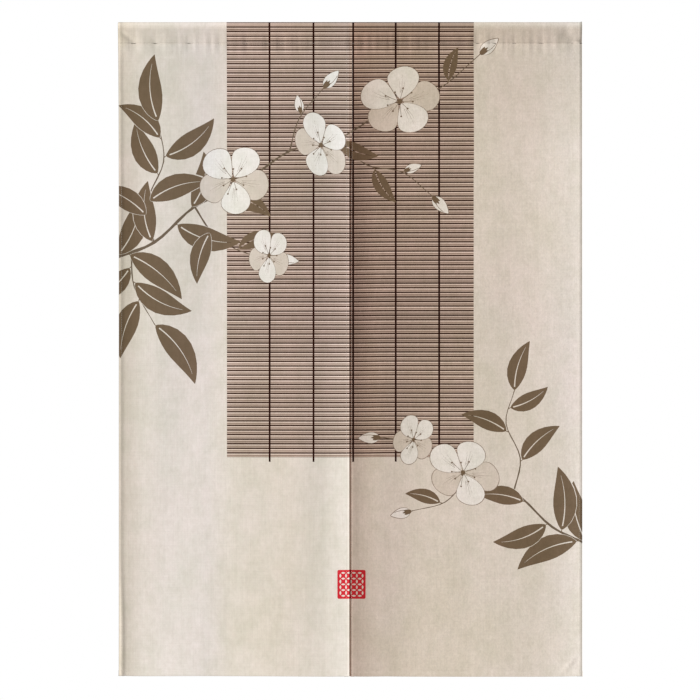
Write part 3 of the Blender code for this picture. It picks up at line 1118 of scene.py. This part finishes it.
def streaks(tree, x, y, across, down, seed):
    """Noise drawn out along one thread direction."""
    at = node(tree, "ShaderNodeCombineXYZ", {
        "X": maths(tree, "MULTIPLY", x, across), "Y": maths(tree, "MULTIPLY", y, down), "Z": seed})
    noise = {"Vector": at.outputs[0], "Scale": 1.0, "Detail": 2.0, "Roughness": 0.55}
    return node(tree, "ShaderNodeTexNoise", noise).outputs["Fac"]


def seam_lightened(tree, panel, tone, across, down):
    """The panel's painted shade across it, with painted light in its place beside the seam."""
    before, after = SEAM_LIGHT_FADE
    joined = node(tree, "ShaderNodeMapRange", {
        "Value": down, "From Min": JOIN_DROP / DROP - before, "From Max": JOIN_DROP / DROP + after,
        "To Min": 1.0, "To Max": 0.0})
    beside = maths(tree, "LESS_THAN", across, max(0.0, SEAM_CORD - SEAM_X) / PANEL_WIDTH)
    share = maths(tree, "MULTIPLY", joined.outputs[0], beside)
    return mixed(tree, share, tone, panel.seam_painted_light)


def woven_group(panel):
    """Plain weave with uneven threads, blotches of dye, painted shade in the weave's hollows, the
    panel's painted shade and highlights across and down it, and a paler print on the reverse.
    """
    tree = bpy.data.node_groups.new("woven_" + panel.name, "ShaderNodeTree")
    for name, way, kind in (("Ink", "INPUT", "Color"), ("Colour", "OUTPUT", "Color"),
                            ("Roughness", "OUTPUT", "Float"), ("Normal", "OUTPUT", "Vector")):
        tree.interface.new_socket(name, in_out=way, socket_type="NodeSocket" + kind)
    ink = tree.nodes.new("NodeGroupInput").outputs["Ink"]
    x, y = flat_coordinates(tree)

    warp = maths(tree, "SINE", maths(tree, "MULTIPLY", x, pi / THREAD_PITCH))
    weft = maths(tree, "SINE", maths(tree, "MULTIPLY", y, pi / THREAD_PITCH))
    rounds = maths(tree, "ADD", maths(tree, "ABSOLUTE", warp), maths(tree, "ABSOLUTE", weft))
    crossing = maths(tree, "MULTIPLY", warp, weft)
    threads = maths(tree, "MULTIPLY", rounds, THREAD_HEIGHT)
    weave = maths(tree, "MULTIPLY_ADD", crossing, CROSSING_HEIGHT, threads)
    slubs = maths(tree, "ADD", *(
        maths(tree, "MULTIPLY", streaks(tree, x, y, *noise), share) for *noise, share in SLUBS))

    across = maths(tree, "MULTIPLY", x, panel.side / PANEL_WIDTH)
    down = maths(tree, "MULTIPLY", y, -1.0 / DROP)
    # Painted shade and highlights across the panel and down it, with painted light beside the seam
    tone = ramp(tree, across, panel.painted_light_and_tones)
    if panel.seam_painted_light:
        tone = seam_lightened(tree, panel, tone, across, down)
    painted_light_and_tones = [tone, ramp(tree, down, panel.painted_shading_down)]
    painted_light_and_tones += [ramp(tree, streaks(tree, x, y, *noise), stops) for *noise, stops in BLOTCHES]
    uneven = GRAIN_TONE * panel.grain
    grain_tones = ((0.34, *[1.0 - uneven] * 3), (0.66, *[1.0 + uneven] * 3))
    painted_light_and_tones += [ramp(tree, streaks(tree, x, y, *GRAIN), grain_tones)]
    # The slubs' tones, then painted shade in the weave's hollows
    painted_light_and_tones += [ramp(tree, slubs, SLUB_TONES), ramp(tree, weave, WEAVE_HOLLOW_SHADE)]

    reverse = node(tree, "ShaderNodeAttribute", attribute_name="reverse").outputs["Fac"]
    hidden = maths(tree, "MULTIPLY", reverse, 1.0 - SHOW_THROUGH)
    colour = mixed(tree, hidden, ink, REVERSE_COLOUR)
    for tone in painted_light_and_tones:
        colour = tinted(tree, colour, tone)
    height = maths(tree, "MULTIPLY_ADD", slubs, 0.9, weave)
    bump = node(tree, "ShaderNodeBump", {"Strength": 0.3, "Distance": 0.00018, "Height": height})
    node(tree, "NodeGroupOutput", {
        "Colour": colour, "Roughness": maths(tree, "MULTIPLY_ADD", slubs, -SLUB_SHEEN, ROUGHNESS),
        "Normal": bump.outputs["Normal"]})
    return tree


def slat_colour(tree):
    """Printed slats, one under the other, some a little darker or pinker than the next."""
    slat = maths(tree, "MULTIPLY", flat_coordinates(tree)[1], -1.0 / SLAT_PITCH)
    number = node(tree, "ShaderNodeTexWhiteNoise", {"W": maths(tree, "FLOOR", slat)},
                  noise_dimensions="1D")
    chance = ramp(tree, number.outputs["Value"], SLAT_CHANCES)
    return tinted(tree, ramp(tree, maths(tree, "FRACT", slat), SLAT_TONES), chance)


def new_material(name):
    material = bpy.data.materials.new(name)
    material.use_nodes = True
    return material, material.node_tree, material.node_tree.nodes["Principled BSDF"]


def cloth_material(name, ink, woven):
    material, tree, shader = new_material(name)
    printed = (*INKS[ink], 1.0) if INKS[ink] else slat_colour(tree)
    weave = node(tree, "ShaderNodeGroup", node_tree=woven)
    feed(tree, weave, {"Ink": printed})
    feed(tree, shader, {
        "Base Color": weave.outputs["Colour"], "Roughness": weave.outputs["Roughness"],
        "Normal": weave.outputs["Normal"], "Specular IOR Level": 0.05, "Sheen Weight": 0.02,
        "Sheen Roughness": 0.5})
    return material


def thread_material():
    """Twisted cotton thread."""
    material, tree, shader = new_material("thread")
    at = node(tree, "ShaderNodeTexCoord").outputs["Object"]
    twist = node(tree, "ShaderNodeTexWave", {"Vector": at, "Scale": 900.0, "Distortion": 1.5},
                 bands_direction="DIAGONAL").outputs["Fac"]
    # painted shade in the grooves of the twist
    shade = (c * THREAD_SHADE for c in THREAD_COLOUR)
    bump = node(tree, "ShaderNodeBump", {"Strength": 0.4, "Distance": 0.0001, "Height": twist})
    feed(tree, shader, {
        "Base Color": ramp(tree, twist, ((0.0, *shade), (1.0, *THREAD_COLOUR))),
        "Normal": bump.outputs["Normal"], "Roughness": 0.8})
    return material


# Stage

FLOOR_Z = -1.9
FLOOR_RADIUS = 2.3
FLOOR_SIDES = 48
FLOOR_COLOUR = (0.8, 0.8, 0.79)
KEY_FROM = Vector((0.78, -0.5, 0.38))
KEY_STRENGTH = 4.4
KEY_SOFTNESS = 0.3
AMBIENT = 0.26


def build_camera():
    lens = bpy.data.cameras.new("camera")
    lens.lens = LENS
    lens.sensor_width = SENSOR
    camera = placed("camera", lens)
    distance = PHOTO_SPAN / SENSOR * LENS
    camera.location = PHOTO_CENTRE - Vector((0.0, distance, 0.0))
    camera.rotation_euler = (pi / 2, 0.0, 0.0)
    bpy.context.scene.camera = camera


def build_light():
    sun = bpy.data.lights.new("key", "SUN")
    sun.energy = KEY_STRENGTH
    sun.angle = KEY_SOFTNESS
    placed("key", sun).rotation_euler = KEY_FROM.to_track_quat("Z", "Y").to_euler()


def build_world():
    """White behind the curtain, and weaker soft light from all round."""
    world = bpy.data.worlds.new("studio")
    world.use_nodes = True
    bpy.context.scene.world = world
    tree = world.node_tree
    seen = node(tree, "ShaderNodeLightPath").outputs["Is Camera Ray"]
    strength = maths(tree, "MULTIPLY_ADD", seen, 1.0 - AMBIENT, AMBIENT)
    feed(tree, tree.nodes["Background"], {"Color": (1.0, 1.0, 1.0, 1.0), "Strength": strength})


def build_floor():
    turns = [2 * pi * i / FLOOR_SIDES for i in range(FLOOR_SIDES)]
    rim = [(FLOOR_RADIUS * cos(a), FLOOR_RADIUS * sin(a), FLOOR_Z) for a in turns]
    material, tree, shader = new_material("floor")
    feed(tree, shader, {"Base Color": (*FLOOR_COLOUR, 1.0), "Roughness": 0.85})
    floor = new_mesh("floor", rim, [tuple(range(FLOOR_SIDES))], [material])


def main():
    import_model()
    bpy.context.scene.view_settings.view_transform = "Standard"
    build_camera()
    build_light()
    build_world()
    build_floor()

    thread = thread_material()
    shapes, grounds = print_shapes()
    for panel in PANELS:
        woven = woven_group(panel)
        materials = {ink: cloth_material(f"{panel.name}_{ink}", ink, woven) for ink in INKS}
        cloth = build_cloth(panel, shapes, grounds, materials)
        stitches = build_thread(panel, thread)
        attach(cloth, "root")
        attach(stitches, "root")
        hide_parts(*panel.nodes)
    join = build_join(thread)
    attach(join, "root")


main()
